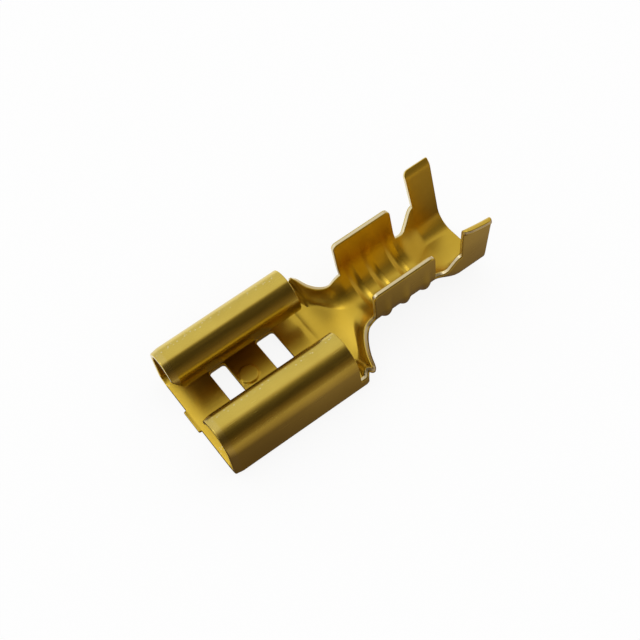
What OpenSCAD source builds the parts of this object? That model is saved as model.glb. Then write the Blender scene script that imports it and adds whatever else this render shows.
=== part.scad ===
// Female spade terminal: one strip of sheet brass, blanked, pierced, folded and rolled.
// X runs from the mouth to the wire end, Y across, Z up. The origin is under the middle.

/* [Sheet] */
// Thickness of the brass strip
sheet_t = 0.3; // [0.25:0.05:0.35]

/* [Receptacle] */
// Outside width across the two rolls
body_w = 7.5; // [7.2:0.1:8]
// Length of the floor, from the mouth to its rear corners
floor_l = 8.06; // [7.9:0.02:8.3]
// Length of each roll, up to the slit behind it
roll_l = 7.74; // [7.2:0.02:7.8]
// Outside radius of each roll
roll_r = 1.29; // [1.2:0.01:1.35]
// Outside radius of the tighter curl towards each lip
curl_r = 1.1; // [1:0.01:1.2]
// Height of the rolls over the underside of the floor
roll_top = 3.22; // [3:0.01:3.4]
// Turn of each roll from its upright wall to where the curl tightens, in degrees
roll_turn = 150; // [140:1:160]
// Gap from the floor to the lips, just under the thickness of the blade that they grip
lip_gap = 0.78; // [0.7:0.01:0.95]
// Length of the corner trimmed off each lip at the mouth
trim_l = 1; // [0.6:0.05:1.2]
// Height of that corner
trim_h = 1.4; // [1:0.05:1.5]
// Outside radius of the fold between floor and wall
fold_r = 0.42; // [0.38:0.01:0.6]
// Height at which the slits end, over the underside
slit_z = 0.8; // [0.7:0.05:1]
// Length of the coined lead-in round the mouth
lead_l = 0.42; // [0.2:0.02:0.6]
// Depth of the coined lead-in
lead_d = 0.07; // [0.03:0.01:0.1]

/* [Floor] */
// Distance of the front window from the mouth
front_window_x = 2.1; // [1.6:0.05:2.3]
// Length of the front window along the strip
front_window_l = 0.93; // [0.6:0.01:1.1]
// Distance of the rear window from the mouth
rear_window_x = 5.03; // [4.8:0.01:5.3]
// Length of the rear window along the strip
rear_window_l = 1.07; // [0.6:0.01:1.2]
// Width of both windows across the strip
window_w = 4.14; // [3:0.02:4.8]
// Corner radius of the windows
window_r = 0.18; // [0.1:0.01:0.25]
// Distance of the pressed button from the mouth
button_x = 3.66; // [3.65:0.01:4.2]
// Radius of the pressed button
button_r = 0.6; // [0.4:0.01:0.62]
// Offset of the pressed button from the centre line
button_y = 0.62; // [0:0.02:0.8]
// Height of the pressed button over the floor
button_h = 0.1; // [0.05:0.01:0.2]
// Length of the stub where the carrier strip was sheared off
shear_l = 0.15; // [0.05:0.01:0.2]
// Width of that stub
shear_w = 1.5; // [1:0.05:2]
// Offset of that stub from the centre line
shear_y = 0.3; // [0:0.05:0.7]
// Distance from the mouth to the coined crease behind the rolls
crease_x = 7.56; // [7.4:0.02:7.7]
// Depth of the crease
crease_d = 0.05; // [0.03:0.01:0.08]
// Radius of the crease's groove
crease_r = 0.15; // [0.1:0.01:0.2]

/* [Neck] */
// Lean of the flared ears, in degrees
ear_lean = 26; // [15:1:30]
// Bend radius under the ears
ear_r = 1.05; // [0.9:0.05:1.3]
// Height of the ears over the underside
ear_top = 1.32; // [1.1:0.02:1.6]
// Height of the side walls at their lowest
neck_top = 1.08; // [0.95:0.01:1.1]
// Distance from the floor's rear corners to where the sides begin to draw in
narrow_l = 0.26; // [0.2:0.01:0.4]
// Distance from the floor's rear corners to the highest point of the ears
ear_l = 0.42; // [0.35:0.01:0.6]
// Distance from the floor's rear corners to the lowest point of the side walls
dip_l = 0.95; // [0.8:0.05:1.2]
// Length of the drawn-in waist ahead of the wire barrel
waist_l = 0.62; // [0.4:0.02:0.8]

/* [Wire barrel] */
// Distance from the mouth to the wire barrel
wire_x = 10.38; // [10.2:0.02:10.7]
// Length of the wire barrel
wire_l = 3.6; // [3.2:0.05:3.7]
// Outside radius of the wire barrel
wire_r = 1.95; // [1.8:0.01:2.05]
// Height of the wire barrel's underside over the floor's
wire_z = 0.6; // [0.5:0.01:0.8]
// Height of the wire barrel's wings over the floor's underside
wire_top = 4; // [3.6:0.02:4.4]
// Lean of the wire barrel's wings, in degrees
wire_lean = 4; // [1:0.5:6]
// Number of serrations pressed across the wire barrel
serrations = 3; // [2:1:3]
// Distance between two serrations
serration_pitch = 1.25; // [0.9:0.01:1.3]
// Radius of the rounded punch that pressed each serration
punch_r = 0.3; // [0.28:0.01:0.32]
// Depth of each serration
serration_d = 0.21; // [0.08:0.01:0.22]
// Turn of each serration round the barrel from its bottom to where it fades out, in degrees
serration_turn = 90; // [70:1:95]
// Corner radius of the wire barrel's wings
wire_corner = 0.3; // [0.1:0.02:0.5]
// Height of the notches on both sides of the wire barrel's wings
notch_top = 1.8; // [1.6:0.01:1.9]

/* [Insulation barrel] */
// Distance from the mouth to the insulation wings
grip_x = 15.52; // [15.4:0.02:15.6]
// Length of the insulation wings along the strip
grip_l = 1.6; // [1.5:0.02:1.8]
// Height of the insulation barrel's underside over the floor's
grip_z = 0.38; // [0.2:0.01:0.5]
// Outside half width of the insulation barrel above its bends
grip_hw = 2.04; // [1.9:0.02:2.2]
// Outside radius of the insulation barrel's bends
grip_r = 1.3; // [1.1:0.02:1.5]
// Height at which the tips of the insulation wings bend out
grip_top = 4.65; // [4.2:0.05:5]
// Skew of the rear edge where the terminal was sheared from its strip, in degrees
shear_skew = 2; // [0.5:0.5:4]
// Lean of the insulation wings, in degrees
grip_lean = 10; // [8:0.5:12]
// Length of the bent tip of each insulation wing
tip_l = 0.48; // [0.3:0.01:0.6]
// Thickness of each tip at its edge
tip_t = 0.2; // [0.15:0.01:0.25]
// Bend of the tips outward, in degrees
tip_bend = 30; // [15:1:35]
// Corner radius of the insulation wings
grip_corner = 0.45; // [0.1:0.01:0.6]
// Height of the side walls between the barrels at their lowest
throat_top = 1.62; // [1.3:0.01:1.7]
// Height at which those side walls run into the insulation wings
shoulder_top = 2.68; // [2.3:0.02:3]
// Length of the lowest stretch of those side walls, behind the wire barrel
throat_l = 0.5; // [0.4:0.02:0.7]

/* [Hidden] */
$fn = 96;
brass = [0.78, 0.62, 0.25];
far = 20;
bite = 0.1;
inset = 0.012;
arc_lap = 0.5;
bend_steps = 8;
loft_steps = 22;
roll_y = body_w / 2 - roll_r;
roll_z = roll_top - roll_r;
curl_y = roll_y + (roll_r - curl_r) * cos(roll_turn);
curl_z = roll_z + (roll_r - curl_r) * sin(roll_turn);
floor_w = body_w - 2 * fold_r;
lip_z = sheet_t + lip_gap;
curl_turn = 180 + asin((curl_z - lip_z) / curl_r) - roll_turn;
narrow_x = floor_l + narrow_l;
ear_x = floor_l + ear_l;
dip_x = floor_l + dip_l;
waist_x = wire_x - waist_l;
wire_end = wire_x + wire_l;
wire_mid = wire_x + wire_l / 2;
grip_end = grip_x + grip_l;
middle = (grip_end - shear_l) / 2;
tip_lean = grip_lean + tip_bend;
tip_top = grip_top + tip_l * cos(tip_lean) + sheet_t * sin(tip_lean);

// Smooth step from 0 to 1 as x goes from x0 to x1
function ease(x, x0, x1) = let (u = min(1, max(0, (x - x0) / (x1 - x0)))) u * u * (3 - 2 * u);

module both_sides() {
    children();
    mirror([0, 1, 0])
        children();
}

// Sets a turned or extruded drawing upright: its Z axis to X, its X to Y and its Y to Z
module along_x(x = 0)
    translate([x, 0, 0])
        rotate([90, 0, 90])
            children();

// A flat rounded rectangle with one corner at the origin
module rounded_rect(w, h, r) {
    translate([r, 0])
        square([w - 2 * r, h]);
    translate([0, r])
        square([w, h - 2 * r]);
    for (x = [r, w - r], y = [r, h - r])
        translate([x, y])
            circle(r = r);
}

// The strip's section at the mouth: depth under its outer face against distance from the mouth,
// with the coined lead-in on the outer face
function strip(face, l) = [
    [face - sheet_t, 0],
    [face - lead_d, 0],
    [face, lead_l],
    [face, l],
    [face - sheet_t, l]
];

// The strip bent round the axis at y and z, from the angle a0 by a turn
module bent_strip(y, z, r, a0, turn, l)
    translate([0, y, z])
        along_x()
            rotate_extrude(angle = turn, start = a0)
                polygon(strip(r, l));

// The strip standing upright at the outside of the box, from z0 to z1
module wall_strip(z0, z1, l)
    translate([0, 0, z0])
        linear_extrude(height = z1 - z0)
            polygon([for (p = strip(body_w / 2, l)) [p[1], p[0]]]);

// Floor, folds and low walls as far as the rear corners, then walls and rolls up to the slits
module folded_box() {
    translate([0, floor_w / 2, 0])
        rotate([90, 0, 0])
            linear_extrude(height = floor_w)
                polygon([for (p = strip(0, floor_l)) [p[1], -p[0]]]);
    both_sides() {
        bent_strip(floor_w / 2, fold_r, fold_r, 270, 90, floor_l);
        wall_strip(fold_r, slit_z, floor_l);
        wall_strip(slit_z, roll_z, roll_l);
        bent_strip(roll_y, roll_z, roll_r, 0, roll_turn, roll_l);
        bent_strip(curl_y, curl_z, curl_r, roll_turn, curl_turn, roll_l);
    }
}

// The corners trimmed off the lips, which lead a tab in under the rolls
module lip_trim()
    translate([0, roll_y, 0])
        rotate([90, 0, 0])
            linear_extrude(height = 2 * roll_y)
                polygon([
                    [-bite, lip_z + trim_h * (1 + bite / trim_l)],
                    [-bite, lip_z - bite],
                    [trim_l * (1 + bite / trim_h), lip_z - bite]
                ]);

module windows() {
    translate([front_window_x, -window_w / 2, -sheet_t])
        linear_extrude(height = 3 * sheet_t)
            rounded_rect(front_window_l, window_w, window_r);
    translate([rear_window_x, -window_w / 2, -sheet_t])
        linear_extrude(height = 3 * sheet_t)
            rounded_rect(rear_window_l, window_w, window_r);
}

// A groove coined across the floor between the folds
module crease()
    translate([crease_x, floor_w / 2, sheet_t + crease_r - crease_d])
        rotate([90, 0, 0])
            cylinder(r = crease_r, h = floor_w);

module receptacle() {
    difference() {
        folded_box();
        lip_trim();
        windows();
        crease();
    }
    translate([button_x, button_y, sheet_t - bite])
        cylinder(r1 = button_r, r2 = button_r - button_h / 2, h = button_h + bite);
    translate([-shear_l, shear_y - shear_w / 2, lead_d])
        cube([shear_l + lead_l, shear_w, sheet_t - lead_d]);
}

// Right half of a channel's section: flat bottom, bend, and a wall that leans out to the height top
module half_channel(hw, z, r, lean, top) {
    c = [hw - r, z + r];
    n = [cos(lean), -sin(lean)];
    v = [sin(lean), cos(lean)] * (top - c[1] + r * sin(lean)) / cos(lean);
    if (hw > r)
        translate([0, z])
            square([hw - r, sheet_t]);
    translate(c)
        intersection() {
            difference() {
                circle(r = r);
                circle(r = r - sheet_t);
            }
            polygon([
                [0, 0],
                [0, -far],
                [far, -far],
                far * [cos(lean - arc_lap), -sin(lean - arc_lap)]
            ]);
        }
    polygon([c + n * r, c + n * r + v, c + n * (r - sheet_t) + v, c + n * (r - sheet_t)]);
}

// A bent tip on top of a channel's wall, thinned from outside towards its edge
module half_tip(hw, z, r, lean, top) {
    n = [cos(lean), -sin(lean)];
    foot = [hw - r, z + r] + n * r + [sin(lean), cos(lean)] * (top - z - r + r * sin(lean)) / cos(lean);
    out = [cos(tip_lean), -sin(tip_lean)];
    edge = foot + [sin(tip_lean), cos(tip_lean)] * tip_l - out * sheet_t;
    polygon([foot, edge + out * tip_t, edge, foot - n * sheet_t]);
}

// Keeps what lies in the outline of a pair of wings seen from the side
module wings(x, l, top, corner)
    intersection() {
        children();
        translate([x, far / 2, top - far])
            rotate([90, 0, 0])
                linear_extrude(height = far)
                    rounded_rect(l, far, corner);
    }

// The wire barrel's trough filled in up to one face of the sheet, with the rounded ridges that
// the serrations press out. Each ridge turns about an axis below the trough's own, so that it
// sinks into the wall where it fades out.
module filled_trough(face_r) {
    wall = face_r * [cos(wire_lean), -sin(wire_lean)];
    rise = wire_top * [tan(wire_lean), 1];
    shift = (serration_d + inset) / (1 - cos(serration_turn));
    ridge_r = face_r - inset - shift * cos(serration_turn);
    along_x()
        linear_extrude(height = far)
            translate([0, wire_z + wire_r]) {
                circle(r = face_r);
                for (side = [1, -1])
                    polygon([for (p = [[0, 0], wall, wall + rise, [0, rise[1]]]) [side * p[0], p[1]]]);
            }
    for (i = [0:serrations - 1])
        translate([0, 0, wire_z + wire_r - shift])
            along_x(wire_mid + (i - (serrations - 1) / 2) * serration_pitch)
                rotate_extrude(angle = 2 * serration_turn, start = 270 - serration_turn)
                    translate([ridge_r - punch_r, 0])
                        circle(r = punch_r);
}

module wire_barrel()
    wings(wire_x, wire_l, wire_top, wire_corner)
        difference() {
            filled_trough(wire_r);
            filled_trough(wire_r - sheet_t);
        }

module insulation_barrel()
    difference() {
        wings(grip_x, grip_l, tip_top, grip_corner)
            both_sides()
                along_x()
                    linear_extrude(height = far) {
                        half_channel(grip_hw, grip_z, grip_r, grip_lean, grip_top);
                        half_tip(grip_hw, grip_z, grip_r, grip_lean, grip_top);
                    }
        translate([grip_end, -grip_hw, -bite])
            rotate([0, 0, shear_skew])
                translate([0, -far / 2, 0])
                    cube(far);
    }

// Right half of a lofted section as points, a depth under its outer face. A sliver of flat stays
// at the bottom, so that the two halves share no point. The bend ends early where the wall's top
// lies below the end of the bend.
function half_points(hw, z, r, lean, top, depth) =
    let (
        c = [max(inset / 2, hw - r), z + r],
        stop = min(-lean, asin(min(1, (top - c[1]) / r))),
        up = max(inset, (top - c[1] - r * sin(stop)) / cos(lean))
    )
    concat(
        [for (i = [0:bend_steps]) let (a = -90 + (stop + 90) * i / bend_steps)
            c + (r - depth) * [cos(a), sin(a)]],
        [c + (r - depth) * [cos(stop), sin(stop)] + up * [sin(lean), cos(lean)]]
    );
function backwards(points) = [for (i = [len(points) - 1:-1:0]) points[i]];
function flipped(points) = [for (p = backwards(points)) [-p[0], p[1]]];
function ring(s) =
    let (
        outer = half_points(s[0], s[1], s[2], s[3], s[4], inset),
        inner = half_points(s[0], s[1], s[2], s[3], s[4], sheet_t - inset)
    )
    concat(flipped(outer), outer, backwards(inner), backwards(flipped(inner)));

// A sheet lofted through rings of points, one ring at each x
module loft(xs, rings) {
    n = len(rings[0]);
    last = len(xs) - 1;
    points = [for (k = [0:last], p = rings[k]) [xs[k], p[0], p[1]]];
    skin = [for (k = [0:last - 1], i = [0:n - 1])
        let (a = k * n + i, b = k * n + (i + 1) % n)
        each [[a, a + n, b], [b, a + n, b + n]]];
    caps = [for (i = [0:n / 2 - 2])
        let (a = i, b = n - 1 - i, e = last * n)
        each [[a, a + 1, b], [a + 1, b - 1, b], [e + a, e + b, e + a + 1], [e + a + 1, e + b, e + b - 1]]];
    polyhedron(points, concat(skin, caps));
}

// Half width, underside, bend radius, lean and wall top of the neck at x
function neck_at(x) = [
    body_w / 2 - (body_w / 2 - wire_r) * ease(x, narrow_x, waist_x),
    wire_z * ease(x, floor_l, wire_x),
    fold_r + (ear_r - fold_r) * ease(x, floor_l, ear_x) + (wire_r - ear_r) * ease(x, ear_x, wire_x),
    ear_lean * ease(x, floor_l, ear_x) - (ear_lean - wire_lean) * ease(x, ear_x, waist_x),
    slit_z + (ear_top - slit_z) * ease(x, floor_l, ear_x)
        - (ear_top - neck_top) * ease(x, ear_x, dip_x)
        + (notch_top - neck_top) * ease(x, dip_x, wire_x)
];

// The same between the two barrels
function throat_at(x) = [
    wire_r + (grip_hw - wire_r) * ease(x, wire_end, grip_x),
    wire_z + (grip_z - wire_z) * ease(x, wire_end, grip_x),
    wire_r + (grip_r - wire_r) * ease(x, wire_end, grip_x),
    wire_lean + (grip_lean - wire_lean) * ease(x, wire_end, grip_x),
    notch_top - (notch_top - throat_top) * ease(x, wire_end, wire_end + throat_l)
        + (shoulder_top - throat_top) * ease(x, wire_end + throat_l, grip_x)
];

module neck() {
    x0 = floor_l - bite;
    xs = [for (i = [0:loft_steps]) x0 + (wire_x + bite - x0) * i / loft_steps];
    loft(xs, [for (x = xs) ring(neck_at(x))]);
}

module throat() {
    x0 = wire_end - bite;
    xs = [for (i = [0:loft_steps]) x0 + (grip_x + bite - x0) * i / loft_steps];
    loft(xs, [for (x = xs) ring(throat_at(x))]);
}

module terminal()
    color(brass)
        translate([-middle, 0, 0]) {
            receptacle();
            neck();
            wire_barrel();
            throat();
            insulation_barrel();
        }

terminal();
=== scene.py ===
# %% [markdown]
# # A female spade terminal
# The real part is a single strip of sheet brass. A press cuts its flat outline, called the blank,
# pierces two windows, and then folds, rolls and presses the strip into shape. This lesson makes
# the mesh in the same order: first a flat blank, then a rule that says where each point of the
# flat strip goes when it is folded. The CAD model is loaded first, as the frame that sizes follow.

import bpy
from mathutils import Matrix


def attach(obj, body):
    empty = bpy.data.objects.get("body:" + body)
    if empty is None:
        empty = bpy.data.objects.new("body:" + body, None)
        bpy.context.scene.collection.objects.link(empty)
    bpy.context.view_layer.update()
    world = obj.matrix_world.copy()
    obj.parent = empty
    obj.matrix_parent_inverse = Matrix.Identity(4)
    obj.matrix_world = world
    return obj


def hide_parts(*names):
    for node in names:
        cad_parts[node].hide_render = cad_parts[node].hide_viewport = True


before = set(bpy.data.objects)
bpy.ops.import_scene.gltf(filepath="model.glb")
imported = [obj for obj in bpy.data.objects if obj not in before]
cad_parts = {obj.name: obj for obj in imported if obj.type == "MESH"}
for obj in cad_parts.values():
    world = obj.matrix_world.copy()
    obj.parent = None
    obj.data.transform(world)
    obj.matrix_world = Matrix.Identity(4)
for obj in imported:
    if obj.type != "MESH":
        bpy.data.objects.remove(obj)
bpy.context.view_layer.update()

# %% Libraries
import math

import bpy
import numpy as np
from mathutils import Matrix, Vector, kdtree
from mathutils.geometry import delaunay_2d_cdt

# %% [markdown]
# ## The strip's sizes
# All sizes are in millimetres, as on a drawing, and the finished mesh is scaled to metres. The
# distance along the strip, x, starts at the mouth. The distance round the folds, u, starts at the
# centre line, so a point of the flat blank is (x, u). The sizes that several steps share come
# first, and each of the others stands with the step that uses it.

# %% Sheet and receptacle
SHEET = 0.3
BODY_W = 7.5
FLOOR_L, ROLL_L = 8.06, 7.74
FOLD_R, ROLL_R, CURL_R = 0.42, 1.29, 1.1
ROLL_TOP, ROLL_TURN = 3.22, math.radians(150)
LIP_GAP = 0.78

# %% Neck and barrels
EAR_X, WIRE_X, WIRE_END = FLOOR_L + 0.42, 10.38, 13.98
WIRE_R, WIRE_Z, WIRE_LEAN = 1.95, 0.6, math.radians(4)
GRIP_X, GRIP_END = 15.52, 17.12
GRIP_HW, GRIP_R, GRIP_Z, GRIP_LEAN = 2.04, 1.3, 0.38, math.radians(10)
print("Length of the strip in mm without its stub:", GRIP_END)

# %% [markdown]
# ## The folding rule
# Cut the part across and you see a line made of straight runs and arcs: floor, fold, wall, roll
# and curl, or floor, bend and wing. Such a section can be written as a list of pieces, each with
# a length and a curvature. Walking along the list from the centre line turns the distance u into a
# place and a heading. The list may change with x, which draws the neck in without any lofting
# tool. An alternative is to model each part apart and join them, but then the edges and the
# shading break at every joint.

# %% A smooth step
def ease(x, x0, x1):
    """0 before x0, 1 after x1, and a smooth step between them."""
    t = np.clip((x - x0) / (x1 - x0), 0, 1)
    return t * t * (3 - 2 * t)


# %% [markdown]
# ## Two sides that differ
# A drawing has both sides alike, but a press doesn't bend them quite alike. On the side that is far
# from the camera, the roll has a tighter bend near its top and the ear is bent more gently. The
# near wing of the insulation barrel is twisted a little, and its tip is bent out further. Mirroring
# one half would be shorter, but a part that is too regular looks drawn and not made. So each size
# that differs is kept once for each side.

# %% Sizes of the far and of the near side
FAR, NEAR = 1, -1
ROLL_ARCS = [  # turn in degrees and mid-plane radius on the near and on the far side
    (100, 1.14, 1.14),
    (16, 1.14, 0.5),
    (34, 1.14, 1.38),
]
EARS = {  # half width, outer bend radius and lean
    NEAR: (2.98, 0.9, math.radians(54)),
    FAR: (2.9, 1.05, math.radians(49)),
}
TIP_FOOT = {NEAR: 4.74, FAR: 4.6}  # height of the tips' bend
TIP_BEND = {NEAR: math.radians(60), FAR: math.radians(35)}
TWIST, TWIST_END = 1.1, GRIP_END + 0.4

# %% The section's sizes at x
NARROW_X, WAIST_X = FLOOR_L + 0.46, WIRE_X - 0.62
UPRIGHT_X = WAIST_X + 0.2


def channel(x, far):
    """Half width, underside, outer bend radius and lean of the walls at x, on one side."""
    ear, neck = ease(x, FLOOR_L, EAR_X), ease(x, EAR_X, WIRE_X)
    throat = ease(x, WIRE_END, GRIP_X)
    ear_w, ear_r, ear_lean = (np.where(far, *pair) for pair in zip(EARS[FAR], EARS[NEAR]))
    half_w = BODY_W / 2 - (BODY_W / 2 - ear_w) * ear
    half_w -= (ear_w - WIRE_R) * ease(x, NARROW_X, WAIST_X)
    half_w += (GRIP_HW - WIRE_R) * throat
    under = WIRE_Z * ease(x, FLOOR_L, WIRE_X) + (GRIP_Z - WIRE_Z) * throat
    radius = FOLD_R + (ear_r - FOLD_R) * ear + (WIRE_R - ear_r) * neck + (GRIP_R - WIRE_R) * throat
    lean = ear_lean * ear - (ear_lean - WIRE_LEAN) * ease(x, EAR_X, UPRIGHT_X)
    twisted = TWIST * ease(x, WIRE_END, TWIST_END)
    lean += (GRIP_LEAN - WIRE_LEAN) * np.where(far, throat, twisted)
    return half_w, under, radius, lean


# %% The section as straight runs and arcs
BOX_END = (ROLL_L + FLOOR_L) / 2
TIP_R = 0.28
ENDLESS = 99.0


def section(x, u):
    """Pieces (length, curvature) of the mid-plane's section at x, from the centre line out.

    The sign of u chooses the side. The last piece has no end of its own: the sheet ends where
    its outline does.
    """
    box, far = x < BOX_END, u > 0
    half_w, under, radius, lean = channel(x, far)
    bend = radius - SHEET / 2
    bend_top = under + radius - radius * np.sin(lean)
    wing = (np.where(far, TIP_FOOT[FAR], TIP_FOOT[NEAR]) - bend_top) / np.cos(lean)
    wing = np.where(x > WIRE_END, wing, ENDLESS)
    pieces = [
        (np.maximum(half_w - radius, 0), 0 * x),
        (bend * (math.pi / 2 - lean), 1 / bend),
        (np.where(box, ROLL_TOP - ROLL_R - FOLD_R, wing), 0 * x),
    ]
    tip = TIP_R * np.where(far, TIP_BEND[FAR], TIP_BEND[NEAR])
    for turn, near_r, far_r in ROLL_ARCS:
        roll = np.where(far, far_r, near_r)
        pieces.append((np.where(box, roll * math.radians(turn), tip),
                       np.where(box, 1 / roll, -1 / TIP_R)))
        tip = 0
    pieces.append((ENDLESS + 0 * x, np.where(box, 1 / (CURL_R - SHEET / 2), 0)))
    return pieces


def after_pieces(x, u, count):
    """Distance round the section from the end of its first pieces to u."""
    return np.abs(u) - sum(length for length, _ in section(x, u)[:count])


# %% How far it is round the box to the lips
LIP_Z = SHEET + LIP_GAP
CURL_Z = ROLL_TOP - ROLL_R + (ROLL_R - CURL_R) * math.sin(ROLL_TURN)
CURL_TURN = math.pi + math.asin((CURL_Z - LIP_Z) / CURL_R) - ROLL_TURN
on_box = np.array([1.0])
BOX_PIECES = {side: [float(length[0]) for length, _ in section(on_box, np.array([side]))]
              for side in (NEAR, FAR)}
for lengths in BOX_PIECES.values():
    lengths[-1] = (CURL_R - SHEET / 2) * CURL_TURN
TO_LIP = {side: sum(lengths) for side, lengths in BOX_PIECES.items()}
print("Distances in mm from the centre line to the lips:", TO_LIP)


# %% Folding a point of the blank
def fold(x, u):
    """Places of the blank's points (x, u) on the folded mid-plane."""
    left = np.abs(u)
    heading = np.zeros_like(x)
    y, z = np.zeros_like(x), channel(x, u > 0)[1] + SHEET / 2
    for length, curvature in section(x, u):
        run = np.clip(left, 0, length)
        half_turn = run * curvature / 2
        chord = run * np.sinc(half_turn / math.pi)
        y = y + chord * np.cos(heading + half_turn)
        z = z + chord * np.sin(heading + half_turn)
        heading = heading + 2 * half_turn
        left = left - run
    return np.stack([x, np.sign(u) * y, z], axis=-1)


def across(surface, x, u, *rest):
    """Unit normal of a surface(x, u) and its unit directions along x and along u."""
    step = 1e-3
    along_x = surface(x + step, u, *rest) - surface(x - step, u, *rest)
    along_u = surface(x, u + step, *rest) - surface(x, u - step, *rest)
    normal = np.cross(along_x, along_u)
    return [v / np.linalg.norm(v, axis=-1, keepdims=True) for v in (normal, along_x, along_u)]


# %% [markdown]
# ## What the press adds
# Three serrations are pressed across the wire barrel to bite into the wire, a button is raised on
# the floor to catch the hole in a blade, a crease is coined behind the rolls and the mouth is
# coined thinner as a lead-in, outside on the walls and inside on the floor. Each is a small
# height added along the sheet's normal. The serrations move both faces of the sheet, the others
# one face only. The tips of the tall wings are thinned in the same way.

# %% Sizes of the pressed forms
SERRATIONS = [10.98, 12.14, 13.44]
SERRATION_D, SERRATION_W = 0.2, 0.3
SERRATION_FULL, SERRATION_OUT = 0.2 * 3.9, 3.9  # where they begin to fade, and where they end
SHALLOWER = 0.4  # the share of its depth that a serration loses on the inner face
BUTTON_X, BUTTON_U, BUTTON_R, BUTTON_H = 3.66, 0.62, 0.6, 0.1
CREASE_X, CREASE_W, CREASE_D = 7.56, 0.17, 0.03
LEAD_L, LEAD_D = 0.42, 0.07
RAMP_L, RAMP_D = 1.1, 0.17
RAMP_FULL, RAMP_OUT = 2.9, 3.5
TIP_L, TIP_THIN = 0.3, 0.1


# %% Pressed relief
def relief(x, u, depth):
    """Height that the press adds at a depth, from -SHEET / 2 outside to SHEET / 2 inside."""
    inner = depth / SHEET + 0.5
    fade = 1 - ease(np.abs(u), SERRATION_FULL, SERRATION_OUT)
    height = 0
    for middle in SERRATIONS:
        bump = np.clip(1 - ((x - middle) / SERRATION_W) ** 2, 0, 1)
        height = height - SERRATION_D * fade * bump ** 1.5 * (1 - SHALLOWER * inner)
    from_button = np.hypot(x - BUTTON_X, u - BUTTON_U)
    height = height + inner * BUTTON_H * (1 - ease(from_button, 0.8 * BUTTON_R, BUTTON_R))
    crease = np.exp(-((x - CREASE_X) / CREASE_W) ** 2) * (np.abs(u) < BODY_W / 2 - FOLD_R)
    height = height - inner * CREASE_D * crease
    on_floor = 1 - ease(np.abs(u), RAMP_FULL, RAMP_OUT)
    lead_in = np.clip(1 - x / LEAD_L, 0, 1) * (1 - on_floor)
    height = height + (1 - inner) * LEAD_D * lead_in
    height = height - inner * RAMP_D * on_floor * np.clip(1 - x / RAMP_L, 0, 1) ** 2
    on_tip = np.clip(after_pieces(x, u, 4) / TIP_L, 0, 1) * (x > WIRE_END)
    return height + (1 - inner) * TIP_THIN * on_tip


def sheet_face(x, u, depth):
    """Places on the sheet at a depth from its mid-plane, with the pressed relief."""
    return fold(x, u) + (depth + relief(x, u, depth))[:, None] * across(fold, x, u)[0]


# %% [markdown]
# ## The blank's outline
# The outline is a list of corners, each with the radius that rounds it. Heights over the
# table are easy to read on a drawing, while the blank needs distances round the folds. So a
# helper looks up how far round the section a height lies.

# %% From a height to a distance round the folds
def reach(x, height, side):
    """The distance u at which the mid-plane comes to a height, below any roll or tip."""
    x = np.atleast_1d(np.asarray(x, float))
    low, high = np.zeros_like(x), np.full_like(x, 5.0)
    for _ in range(40):
        middle = (low + high) / 2
        below = fold(x, side * middle)[:, 2] < height
        low, high = np.where(below, middle, low), np.where(below, high, middle)
    return low


# %% Rounding the corners of a polygon
def rounded(corners, step=0.06):
    """Points at most a step apart round a polygon whose corners are (x, u, radius)."""
    points = []
    count = len(corners)
    for i, (x, u, radius) in enumerate(corners):
        here = np.array([x, u])
        to_last = np.array(corners[i - 1][:2]) - here
        to_next = np.array(corners[(i + 1) % count][:2]) - here
        len_last, len_next = np.linalg.norm(to_last), np.linalg.norm(to_next)
        to_last, to_next = to_last / len_last, to_next / len_next
        half = math.acos(np.clip(to_last @ to_next, -1, 1)) / 2
        if radius == 0 or half > math.radians(89):  # a plain corner, or next to none
            points.append(here)
            continue
        cut = min(radius / math.tan(half), 0.49 * len_last, 0.49 * len_next)  # less than half a side
        radius = cut * math.tan(half)
        to_centre = (to_last + to_next) / np.linalg.norm(to_last + to_next)
        centre = here + to_centre * radius / math.sin(half)
        first, last = here + to_last * cut - centre, here + to_next * cut - centre
        turn = math.pi - 2 * half
        pieces = max(3, math.ceil(radius * turn / step))
        for k in range(pieces + 1):
            t = k / pieces
            arm = first * math.sin((1 - t) * turn) + last * math.sin(t * turn)
            points.append(centre + arm / math.sin(turn))
    spaced = []
    for here, after in zip(points, points[1:] + points[:1]):
        pieces = max(1, math.ceil(np.linalg.norm(after - here) / step))
        spaced += [here + (after - here) * k / pieces for k in range(pieces)]
    return np.array(spaced)


# %% Heights of the low walls
SLIT_Z, EAR_TOP, NECK_TOP, NOTCH_TOP, THROAT_TOP, SHOULDER_TOP = 0.8, 1.32, 1.1, 1.8, 1.7, 2.68
DIP_X, THROAT_L = FLOOR_L + 0.85, 0.5


def side_top(x, wire_x):
    """Height of the low side walls of the neck and of the throat at x."""
    neck = SLIT_Z + (EAR_TOP - SLIT_Z) * ease(x, FLOOR_L, EAR_X)
    neck = neck - (EAR_TOP - NECK_TOP) * ease(x, EAR_X, DIP_X)
    neck = neck + (NOTCH_TOP - NECK_TOP) * ease(x, DIP_X, wire_x)
    throat = NOTCH_TOP - (NOTCH_TOP - THROAT_TOP) * ease(x, WIRE_END, WIRE_END + THROAT_L)
    throat = throat + (SHOULDER_TOP - THROAT_TOP) * ease(x, WIRE_END + THROAT_L, GRIP_X)
    return np.where(x < WIRE_END, neck, throat)


# %% One side of the blank
TRIM_L, TRIM_U = 1.0, 1.35
WIRE_TOP = 4.0
EAR_CORNER_L = 0.15  # kept free of other corners, to round the ear's corner
ON_WIRE, ON_GRIP = WIRE_X + 0.1, GRIP_X + 0.1
SKEW, REAR_END = math.tan(math.radians(2)), GRIP_END - 0.01


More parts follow.
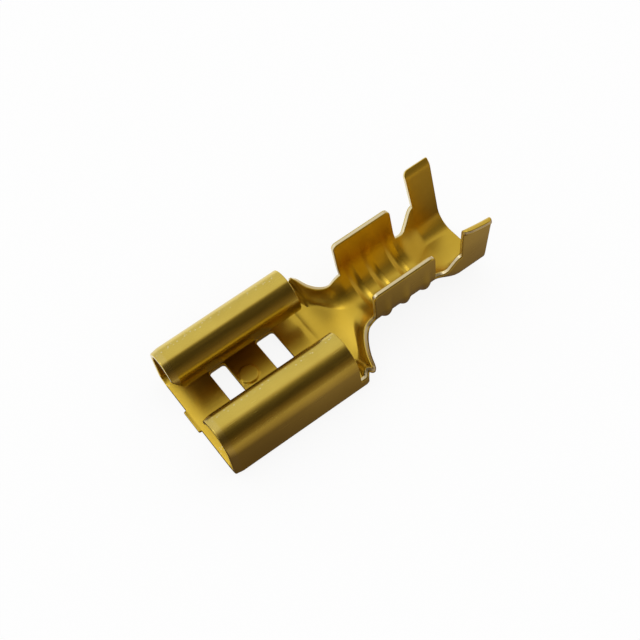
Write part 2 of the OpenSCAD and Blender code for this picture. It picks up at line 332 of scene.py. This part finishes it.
def half_outline(side, wire_x, tip_l, front_r, rear_r, rear_out):
    """Corners (x, u, radius) from the mouth to the wire end, on the side -1 or 1.

    wire_x is where the wire wing starts, tip_l the flat length of the other wing's bent tip,
    front_r and rear_r round that tip, and rear_out is how far its rear corner stands out.
    """
    neck_xs = np.linspace(EAR_X + EAR_CORNER_L, wire_x, 40)[:-1]
    throat_xs = np.linspace(WIRE_END, GRIP_X, 26)[1:-1]
    neck, throat = [[(x, reach(x, side_top(x, wire_x), side)[0], 0) for x in xs]
                    for xs in (neck_xs, throat_xs)]
    lip_u, slit_u = TO_LIP[side], reach(ROLL_L - 0.01, SLIT_Z, side)[0]
    ear_u, shoulder_u = reach(EAR_X, EAR_TOP, side)[0], reach(GRIP_X, SHOULDER_TOP, side)[0]
    wing_u, foot_u = (reach(ON_WIRE, height, side)[0] for height in (WIRE_TOP, NOTCH_TOP))
    to_bend = section(np.array([ON_GRIP]), np.array([side]))[:4]
    tip_u = sum(length[0] for length, _ in to_bend) + tip_l
    corners = [(0, lip_u - TRIM_U, 0.12), (TRIM_L, lip_u, 0.3), (ROLL_L, lip_u, 0.12)]
    corners += [(ROLL_L, slit_u, 0.04), (FLOOR_L, slit_u, 0), (EAR_X, ear_u, 0.15)]
    corners += neck + [(wire_x, foot_u, 0.1), (wire_x, wing_u, 0.3), (WIRE_END, wing_u, 0.3)]
    corners += [(WIRE_END, foot_u, 0.1)] + throat
    corners += [(GRIP_X, shoulder_u, 0.15), (GRIP_X, tip_u, front_r)]
    rear_u = np.array([tip_u, 2.5, 1.5, 0.8])
    rear_y = side * fold(np.full(4, GRIP_END), rear_u)[:, 1]
    rear_x = GRIP_END - SKEW * (rear_y + GRIP_HW) + [rear_out, 0, 0, 0]
    rear_x = np.minimum(rear_x, REAR_END)
    corners += [(x, u, rear_r if u == tip_u else 0) for x, u in zip(rear_x, rear_u)]
    return [(x, side * u, radius) for x, u, radius in corners]


# %% The whole blank
STUB_L, STUB_W, STUB_U = 0.15, 1.5, 0.3
stub = [(0, STUB_U - STUB_W / 2, 0.03), (-STUB_L, STUB_U - STUB_W / 2, 0.07)]
stub += [(-STUB_L, STUB_U + STUB_W / 2, 0.07), (0, STUB_U + STUB_W / 2, 0.03)]
upper = half_outline(FAR, wire_x=WIRE_X, tip_l=0.26, front_r=0.35, rear_r=0.08, rear_out=0.17)
lower = half_outline(NEAR, wire_x=10.17, tip_l=0.22, front_r=0.4, rear_r=0.35, rear_out=0)
outline = rounded(stub + upper + lower[::-1])
WINDOW_W, WINDOW_R = 4.14, 0.18


def window(x, length):
    """Corners of a window in the floor, in the other sense to the outline."""
    low, high = -WINDOW_W / 2, WINDOW_W / 2
    return rounded([(a, b, WINDOW_R) for a, b in
                    [(x, low), (x, high), (x + length, high), (x + length, low)]][::-1])


loops = [outline, window(2.1, 0.93), window(5.03, 1.07)]
print("Points on the outline and the windows:", [len(loop) for loop in loops])

# %% [markdown]
# ## Filling the blank
# The outline has to be filled with small faces before it is folded, because a face can't bend. A
# grid of points is laid inside it, closer together where the sheet will be curved, and a Delaunay
# triangulation joins the points to the outline. The edge itself gets a few rows of its own: a
# sheared edge is never sharp, and the thin bright line along it is what makes sheet metal look
# real.

# %% Which side of a loop is outside
def outward(loop):
    """Unit normals of a loop of points, away from the metal."""
    along = np.roll(loop, -1, axis=0) - np.roll(loop, 1, axis=0)
    away = np.stack([-along[:, 1], along[:, 0]], axis=-1)
    return away / np.linalg.norm(away, axis=1, keepdims=True)


def signed_area(loop):
    """Area inside a loop, whose sign tells in which sense the points run."""
    after = np.roll(loop, -1, axis=0)
    return np.sum(loop[:, 0] * after[:, 1] - loop[:, 1] * after[:, 0]) / 2


print("Areas in mm2 (one sign for the outline, the other for windows):",
      [round(signed_area(loop), 2) for loop in loops])


# %% What lies inside the blank
def inside(points, loops):
    """Whether each point lies between the loops: it has an odd number of edges to one side."""
    odd = np.zeros(len(points), bool)
    x, u = points[:, 0], points[:, 1]
    for loop in loops:
        for (x0, u0), (x1, u1) in zip(loop, np.roll(loop, -1, axis=0)):
            if u0 != u1:
                odd ^= ((u0 > u) != (u1 > u)) & (x < (x1 - x0) * (u - u0) / (u1 - u0) + x0)
    return odd


# %% Lines of a grid
BOX_STEPS = (0.06, 0.13, 0.055, 0.14, 0.07, 0.05, 0.07, 0.065)  # from the middle to the lip
BUTTON_END = 1.3


def lines(*stretches):
    """Values that split each stretch (start, end, step) evenly."""
    return np.concatenate([np.linspace(a, b, max(2, math.ceil((b - a) / step)), endpoint=False)
                           for a, b, step in stretches])


def across_box(side):
    """The distances u of the box's grid on one side."""
    first, *others = BOX_PIECES[side]
    ends = np.cumsum([0, BUTTON_END, first - BUTTON_END, *others])
    return side * lines(*zip(ends[:-1], ends[1:], BOX_STEPS))


def across_channel(end):
    """The distances u of the grid behind the box, on both sides."""
    half = lines((0.0, end, 0.085))
    return np.concatenate([-half[:0:-1], half])


# %% A grid of points inside the blank
EDGE_R, EDGE_GAP = 0.055, 0.045
along_box = lines((0, 0.5, 0.06), (0.5, 3.0, 0.13), (3.0, 4.3, 0.06), (4.3, BOX_END, 0.13))
grids = [
    (along_box, np.concatenate([across_box(NEAR)[:0:-1], across_box(FAR)])),
    (lines((BOX_END, WIRE_X, 0.065)), across_channel(6)),
    (lines((WIRE_X, WIRE_END, 0.055)), across_channel(6)),
    (lines((WIRE_END, GRIP_X, 0.065)), across_channel(6)),
    (lines((GRIP_X, GRIP_END + 0.1, 0.075)), across_channel(7)),
]
inner_loops = [loop - EDGE_R * outward(loop) for loop in loops]
near = kdtree.KDTree(sum(len(loop) for loop in inner_loops))
for i, point in enumerate(np.concatenate(inner_loops)):
    near.insert((*point, 0), i)
near.balance()
grid = np.concatenate([np.stack(np.meshgrid(xs, us), -1).reshape(-1, 2) for xs, us in grids])
grid = grid[inside(grid, loops)]
grid = grid[[near.find((*point, 0))[2] > EDGE_GAP for point in grid]]
print("Points inside the blank:", len(grid))

# %% Triangles between them
flat = np.concatenate(inner_loops + [grid])
fences, start = [], 0
for loop in inner_loops:
    count = len(loop)
    fences += [(start + i, start + (i + 1) % count) for i in range(count)]
    start += count
found = delaunay_2d_cdt([Vector(p) for p in flat], fences, [], 0, 1e-6)
flat = np.array([tuple(v) for v in found[0]])
triangles = np.array(found[2])
corners = flat[triangles]
sides = corners[:, 1:] - corners[:, :1]
doubled_areas = np.abs(sides[:, 0, 0] * sides[:, 1, 1] - sides[:, 0, 1] * sides[:, 1, 0])
triangles = triangles[inside(corners.mean(axis=1), inner_loops) & (doubled_areas > 1e-8)]
print("Triangles on one face of the sheet:", len(triangles), "points:", len(flat))

# %% [markdown]
# ## Folding the sheet
# Every point of the flat mesh is now used twice, on the inner face and on the outer face, and the
# rows of the rounded edge close the sheet between them. The folding rule also gives exact normals,
# and these are set on the mesh. So highlights run smoothly over the faces, which matters
# more on polished metal than a fine mesh does. Each vertex also keeps two numbers for the
# material: how far it lies to the inside, and whether it lies on sheared metal.

# %% Rows of the rounded edge
EDGE_STEPS = 4  # to each quarter turn
INNER_ROUND, OUTER_ROUND = 0.08, 0.11
rows = []
for side, depth_r in ((1, INNER_ROUND), (-1, OUTER_ROUND)):
    for k in range(EDGE_STEPS + 1):
        turn = math.pi / 2 * k / EDGE_STEPS
        rows.append((EDGE_R * (1 - math.sin(turn)),
                     side * (SHEET / 2 - depth_r * (1 - math.cos(turn))),
                     math.sin(turn), side * math.cos(turn)))
rows = rows[:EDGE_STEPS + 1] + rows[:EDGE_STEPS:-1]
print("Rows of the edge (inset, depth, outward, inward):", len(rows))


# %% The two faces of the sheet
COINED, COINED_FADE = 0.1, 0.08


def on_sheet(points, depth):
    """Places of flat points at one depth, and the sheet's three directions there."""
    x, u = points[:, 0], points[:, 1]
    depth = np.full(len(points), float(depth))
    return sheet_face(x, u, depth), across(sheet_face, x, u, depth)


count = len(flat)
places, normals, inner, cut = [], [], [], []  # inner and cut are for the material
for side in (1, -1):
    place, (normal, _, _) = on_sheet(flat, side * SHEET / 2)
    places.append(place)
    normals.append(side * normal)
    inner.append(np.full(count, (1 + side) / 2))
    cut.append(COINED * np.clip((LEAD_L - flat[:, 0]) / COINED_FADE, 0, 1) * (side < 0))

# %% The edge between them
quads = []
offset = 2 * count
start = 0
for loop in loops:
    size = len(loop)
    out = outward(loop)
    ring_at = [start]
    for inset, depth, out_part, in_part in rows[1:-1]:
        place, (normal, along_x, along_u) = on_sheet(loop - inset * out, depth)
        away = along_x * out[:, :1] + along_u * out[:, 1:]
        away /= np.linalg.norm(away, axis=1, keepdims=True)
        places.append(place)
        normals.append(out_part * away + in_part * normal)
        inner.append(np.full(size, depth / SHEET + 0.5))
        cut.append(np.full(size, float(out_part == 1)))
        ring_at.append(offset)
        offset += size
    ring_at.append(count + start)
    for a, b in zip(ring_at[:-1], ring_at[1:]):
        i = np.arange(size)
        after = (i + 1) % size
        quads.append(np.stack([a + i, a + after, b + after, b + i], axis=-1))
    start += size
places, normals = np.concatenate(places), np.concatenate(normals)
quads = np.concatenate(quads)
print("Vertices:", len(places), "faces of the edge:", len(quads))

# %% The mesh
MM = 0.001
places[:, 0] -= (GRIP_END - STUB_L) / 2
upper_faces = triangles
lower_faces = count + triangles[:, ::-1]
faces = [list(map(int, f)) for part in (upper_faces, lower_faces, quads) for f in part]
mesh = bpy.data.meshes.new("terminal_sheet")
mesh.from_pydata([tuple(p) for p in places * MM], [], faces)
mesh.validate()
mesh.update()
for polygon in mesh.polygons:
    polygon.use_smooth = True
mesh.normals_split_custom_set_from_vertices([tuple(n) for n in normals])
for name, values in (("inner", inner), ("cut", cut)):
    layer = mesh.attributes.new(name, "FLOAT", "POINT")
    layer.data.foreach_set("value", np.concatenate(values))

# %% The piece
sheet = bpy.data.objects.new("terminal_sheet", mesh)
bpy.context.scene.collection.objects.link(sheet)
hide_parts("terminal")
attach(sheet, "root")
low, high = places.min(axis=0), places.max(axis=0)
print("Faces:", len(faces), "box in mm:", low.round(3), high.round(3))

# %% [markdown]
# ## Shader nodes
# A material in Blender is a small network of nodes: each works out a number or a colour and hands
# it on through a link. The nodes could be placed and linked one line at a time, but the part and
# its stage need the same few kinds again and again. So short helpers add a node, link or fill its
# inputs, and return what it gives, and a network then reads like a formula.

# %% Adding and feeding a node
def feed(tree, socket, value):
    """Gives a socket another node's output, a colour of three numbers, or a number."""
    if isinstance(value, bpy.types.NodeSocket):
        tree.links.new(value, socket)
    elif socket.type == "RGBA":
        socket.default_value = (*value, 1)
    else:
        socket.default_value = value


def add_node(tree, kind, inputs, **settings):
    """A new shader node, with its inputs fed by name or by number."""
    node = tree.nodes.new("ShaderNode" + kind)
    for name, value in settings.items():
        setattr(node, name, value)
    for key, value in inputs.items():
        feed(tree, node.inputs[key], value)
    return node


# %% Numbers and colours from nodes
def math_node(tree, operation, *values):
    """One step of arithmetic on numbers or other nodes' outputs."""
    return add_node(tree, "Math", dict(enumerate(values)), operation=operation).outputs[0]


def object_place(tree):
    """The shaded point's place in metres, counted from the object's own origin."""
    return add_node(tree, "TexCoord", {}).outputs["Object"]


def ramp(tree, factor, stops):
    """A colour for a factor from 0 to 1, from stops (position, colour)."""
    node = add_node(tree, "ValToRGB", {"Fac": factor})
    elements = node.color_ramp.elements
    for i, (position, colour) in enumerate(stops):
        element = elements[i] if i < 2 else elements.new(1.0)
        element.position, element.color = position, (*colour, 1)
    return node.outputs["Color"]


def blend(tree, factor, first, second):
    """The first colour where the factor is 0, and the second where it is 1."""
    node = add_node(tree, "Mix", {}, data_type="RGBA")
    sockets = [socket for socket in node.inputs if socket.enabled]
    for socket, value in zip(sockets, (factor, first, second)):
        feed(tree, socket, value)
    return next(socket for socket in node.outputs if socket.enabled)


def grey(value):
    """A colour without hue."""
    return (value, value, value)


# %% [markdown]
# ## Brass
# Brass is a copper and zinc alloy. Bare metal takes its colour from its reflections, so the shader
# is fully metallic and its base colour is the tint of a reflection. A thin tarnish varies from place
# to place. The inner face, inside the folds, gets a warmer base colour: a painted reflection of the
# metal in itself.

# %% Tint
material = bpy.data.materials.new("satin_brass")
material.use_nodes = True
brass = material.node_tree
shader = brass.nodes["Principled BSDF"]
shader.inputs["Metallic"].default_value = 1.0


def noise(scale, detail, stretch=(1, 1, 1)):
    """A noise pattern in patches of 1 / scale metres, made finer along an axis by its stretch."""
    place = add_node(brass, "Mapping", {"Vector": object_place(brass), "Scale": stretch})
    pattern = add_node(brass, "TexNoise", {"Vector": place.outputs["Vector"]})
    pattern.inputs["Scale"].default_value, pattern.inputs["Detail"].default_value = scale, detail
    return pattern.outputs["Fac"]


def attribute(name):
    """A number that the mesh carries at each vertex."""
    return add_node(brass, "Attribute", {}, attribute_name=name).outputs["Fac"]


tarnish = noise(450, detail=4)
clean = ramp(brass, tarnish, [(0.3, (0.67, 0.505, 0.095)), (0.7, (0.76, 0.585, 0.12))])
# On the inner face the tint is warmer: a painted reflection of the metal in itself, on top of the
# tarnish.
tarnish_with_painted_reflection = ramp(brass, tarnish, [(0.3, (0.69, 0.47, 0.05)), (0.7, (0.77, 0.54, 0.07))])
colour = blend(brass, attribute("inner"), clean, tarnish_with_painted_reflection)

# %% [markdown]
# ## Wear and finish
# The tool that closes the rolls rubs along their tops and leaves a row of small bright scuffs.
# Cell noise has a dot in each cell, which suits them better than a cloudy noise. Rolled strip
# has faint streaks along the direction of rolling: a noise stretched along x, fed to the roughness
# and to a slight bump. Sheared metal is paler and duller than the strip's faces.

# %% Scuffs along the rolls
SCUFFS_PER_M = 5200
SCUFF_MIDDLE, SCUFF_OUT, SCUFF_HALF_W, SCUFF_END = 0.00045, 0.00245, 0.00016, -0.001
x, y, _ = add_node(brass, "SeparateXYZ", {0: object_place(brass)}).outputs
off_middle = math_node(brass, "ABSOLUTE", math_node(brass, "SUBTRACT", y, SCUFF_MIDDLE))
in_row = math_node(brass, "COMPARE", off_middle, SCUFF_OUT, SCUFF_HALF_W)
on_rolls = math_node(brass, "MULTIPLY", in_row, math_node(brass, "LESS_THAN", x, SCUFF_END))
dots = add_node(brass, "TexVoronoi", {"Vector": object_place(brass), "Scale": SCUFFS_PER_M})
marks = ramp(brass, dots.outputs["Distance"], [(0.12, grey(0.55)), (0.3, grey(0))])
scuffs = blend(brass, on_rolls, grey(0), marks)
colour = blend(brass, scuffs, colour, (0.95, 0.88, 0.62))

# %% Streaks, roughness and sheared edges
streaks = noise(9000, detail=2, stretch=(0.06, 1, 1))
outside = ramp(brass, streaks, [(0.3, grey(0.19)), (0.75, grey(0.28))])
inside_rough = ramp(brass, streaks, [(0.3, grey(0.32)), (0.75, grey(0.38))])
rough = blend(brass, attribute("inner"), outside, inside_rough)
feed(brass, shader.inputs["Roughness"], blend(brass, attribute("cut"), rough, grey(0.38)))
feed(brass, shader.inputs["Base Color"], blend(brass, attribute("cut"), colour, (0.86, 0.77, 0.53)))
bump = add_node(brass, "Bump", {"Strength": 0.06, "Distance": 0.00002, "Height": streaks})
feed(brass, shader.inputs["Normal"], bump.outputs["Normal"])
sheet.data.materials.append(material)
print("Nodes in the brass:", len(brass.nodes))

# %% [markdown]
# ## The stage
# The part stands on a plain white floor under an even white sky. That alone would make polished
# metal look flat, because a mirror shows only what stands round it. A product photographer hangs
# white and dark cloths round such a part. Here a tent does this: reflections see it, while the
# camera, the shadows and the light on the floor don't.

# %% Pieces of the stage
def card(name, corners, material):
    """A flat four-cornered piece of the stage."""
    data = bpy.data.meshes.new(name)
    data.from_pydata(corners, [], [(0, 1, 2, 3)])
    data.materials.append(material)
    piece = bpy.data.objects.new(name, data)
    bpy.context.scene.collection.objects.link(piece)
    return piece


# %% White floor
floor_white = bpy.data.materials.new("floor_white")
floor_white.use_nodes = True
tree = floor_white.node_tree
diffuse = tree.nodes["Principled BSDF"]
diffuse.inputs["Base Color"].default_value = (0.9, 0.9, 0.9, 1)
diffuse.inputs["Roughness"].default_value = 1.0
path = add_node(tree, "LightPath", {}).outputs
seen = math_node(tree, "MAXIMUM", path["Is Camera Ray"], path["Is Glossy Ray"])
seen = math_node(tree, "MAXIMUM", seen, path["Is Transmission Ray"])
glow, share = add_node(tree, "Emission", {}), math_node(tree, "MULTIPLY", seen, 0.88)
mix = add_node(tree, "MixShader", {0: share, 1: diffuse.outputs[0], 2: glow.outputs[0]})
feed(tree, tree.nodes["Material Output"].inputs["Surface"], mix.outputs[0])
HALF = 1.0
floor = card("floor", [(-HALF, -HALF, 0), (HALF, -HALF, 0), (HALF, HALF, 0), (-HALF, HALF, 0)],
             floor_white)
floor.location.z = -0.00001

# %% Even white sky
world = bpy.data.worlds.new("white_sky")
bpy.context.scene.world = world
world.use_nodes = True
world.node_tree.nodes["Background"].inputs["Color"].default_value = (1, 1, 1, 1)
world.node_tree.nodes["Background"].inputs["Strength"].default_value = 1.0
bpy.context.scene.view_settings.view_transform = "Standard"

# %% [markdown]
# ## The tent
# The rolls and the barrels run along x, so they show mostly what stands round the x axis. The
# cloth is bright from the floor on the far side to right overhead. Then it falls off to
# a dark brown, and down on the near side it is mid grey. A colour ramp over the angle round the
# x axis gives all of these with soft borders. Past the wire end another cloth hangs across.

# %% Glowing materials that only reflections see
def glowing(name):
    """A material that gives off light by itself, its node tree and its emission node."""
    material = bpy.data.materials.new(name)
    material.use_nodes = True
    tree = material.node_tree
    tree.nodes.clear()
    glow = add_node(tree, "Emission", {})
    add_node(tree, "OutputMaterial", {"Surface": glow.outputs[0]})
    return material, tree, glow


def reflections_only(piece):
    """Hides a piece of the stage from everything but reflections."""
    piece.visible_camera = piece.visible_diffuse = piece.visible_transmission = False
    piece.visible_shadow = False


# %% Cloth colours round the x axis
CLOTH = [  # degrees from the far side over the top to the near side, and the colour
    (0, (0.70, 0.69, 0.68)),
    (45, (0.78, 0.76, 0.72)),
    (78, (0.82, 0.79, 0.72)),
    (88, (0.54, 0.46, 0.34)),
    (96, (0.24, 0.20, 0.12)),
    (106, (0.12, 0.095, 0.06)),
    (120, (0.06, 0.045, 0.028)),
    (140, (0.06, 0.042, 0.022)),
    (160, (0.17, 0.115, 0.06)),
    (180, (0.33, 0.26, 0.17)),
]
END_CLOTH, END_FROM, END_TO = (0.55, 0.47, 0.36), 0.3, 0.7
cloth, tree, glow = glowing("tent_cloth")
x, y, z = add_node(tree, "SeparateXYZ", {0: object_place(tree)}).outputs
half_turns = math_node(tree, "DIVIDE", math_node(tree, "ARCTAN2", z, y), math.pi)
round_x = ramp(tree, half_turns, [(degrees / 180, colour) for degrees, colour in CLOTH])
at_end = add_node(tree, "MapRange", {"Value": x, "From Min": END_FROM, "From Max": END_TO},
                  interpolation_type="SMOOTHSTEP")
feed(tree, glow.inputs["Color"], blend(tree, at_end.outputs["Result"], round_x, END_CLOTH))

# %% A round tent
TENT_R = 0.4
bpy.ops.mesh.primitive_uv_sphere_add(segments=64, ring_count=32, radius=1.0)
tent = bpy.context.object
tent.name = "tent"
tent.scale = (TENT_R, TENT_R, TENT_R)
tent.data.materials.append(cloth)
reflections_only(tent)

# %% [markdown]
# ## A lamp and a painted shadow
# Two small pieces finish the light. A round lamp over the mouth puts a bright spot into
# the bend at the neck and on the slopes of the serrations: those face the mouth, while the rolls
# can't see it. A dark glowing sheet lies on the floor in front of the part and under it, and only
# reflections see it. It is a painted shadow of the part on the floor, darkest next to the part and
# under it. Without it, the near wall and the undersides of the lips would mirror the white floor
# and look far too pale.

# %% A lamp over the mouth
LAMP_TO, LAMP_AT, LAMP_R = Vector((-0.58, 0.32, 0.75)), 0.3, 0.04
lamp_white, tree, glow = glowing("lamp_white")
glow.inputs["Color"].default_value = (1, 0.97, 0.9, 1)
glow.inputs["Strength"].default_value = 4
bpy.ops.mesh.primitive_circle_add(vertices=48, radius=LAMP_R, fill_type="NGON")
lamp = bpy.context.object
lamp.name = "lamp"
lamp.location = LAMP_TO.normalized() * LAMP_AT
lamp.rotation_euler = LAMP_TO.to_track_quat("Z", "Y").to_euler()
lamp.data.materials.append(lamp_white)
reflections_only(lamp)

# %% A painted shadow on the floor
# Colours of the painted shadow: darkest next to the part and under it, paler towards the camera.
PAINTED_SHADOW = [  # distance in mm from the middle of the part towards the camera, and the colour
    (0, (0.10, 0.062, 0.02)),
    (1.6, (0.10, 0.065, 0.035)),
    (2.9, (0.12, 0.085, 0.065)),
    (3.9, (0.165, 0.12, 0.085)),
    (5.8, (0.31, 0.24, 0.18)),
    (12, (0.42, 0.34, 0.24)),
]
PAINTED_SHADOW_L, SLANT, UNDER_PART = PAINTED_SHADOW[-1][0], -0.22, 0.003
# A glowing material whose colour is painted shade of the part on the floor.
painted_shadow_glow, tree, glow = glowing("painted_floor_shadow")
x, y, _ = add_node(tree, "SeparateXYZ", {0: object_place(tree)}).outputs
away = math_node(tree, "MULTIPLY_ADD", x, SLANT, y)
share = math_node(tree, "DIVIDE", away, -PAINTED_SHADOW_L * MM)
stops = [(distance / PAINTED_SHADOW_L, colour) for distance, colour in PAINTED_SHADOW]
feed(tree, glow.inputs["Color"], ramp(tree, share, stops))
OUT = 0.2
# A sheet that only reflections see, carrying the painted shadow of the part on the floor.
painted_floor_shadow = card("painted_floor_shadow", [(-OUT, -OUT, 0), (OUT, -OUT, 0), (OUT, UNDER_PART, 0),
                               (-OUT, UNDER_PART, 0)], painted_shadow_glow)
reflections_only(painted_floor_shadow)
print("Pieces of the stage:", [piece.name for piece in (floor, tent, lamp, painted_floor_shadow)])

# %% [markdown]
# ## The camera
# The part is as small as a fingernail, so the camera stands a few centimetres off with a long
# lens. It looks down over the mouth from one side, and is rolled a little, so that the part lies
# across the picture.

# %% Camera
EYE = Vector((-16.0805, -33.7935, 58.4777)) * MM
TARGET = Vector((-0.4102, 0.2096, 1.5)) * MM
ROLL = math.radians(-13.061)
data = bpy.data.cameras.new("camera")
data.sensor_width = 36
data.lens = 75.15
data.clip_start, data.clip_end = 0.001, 10
camera = bpy.data.objects.new("camera", data)
bpy.context.scene.collection.objects.link(camera)
level = (TARGET - EYE).to_track_quat("-Z", "Y").to_matrix().to_4x4()
camera.matrix_world = Matrix.Translation(EYE) @ level @ Matrix.Rotation(ROLL, 4, "Z")
bpy.context.scene.camera = camera
print("From the camera to the part in mm:", round((TARGET - EYE).length / MM, 1))
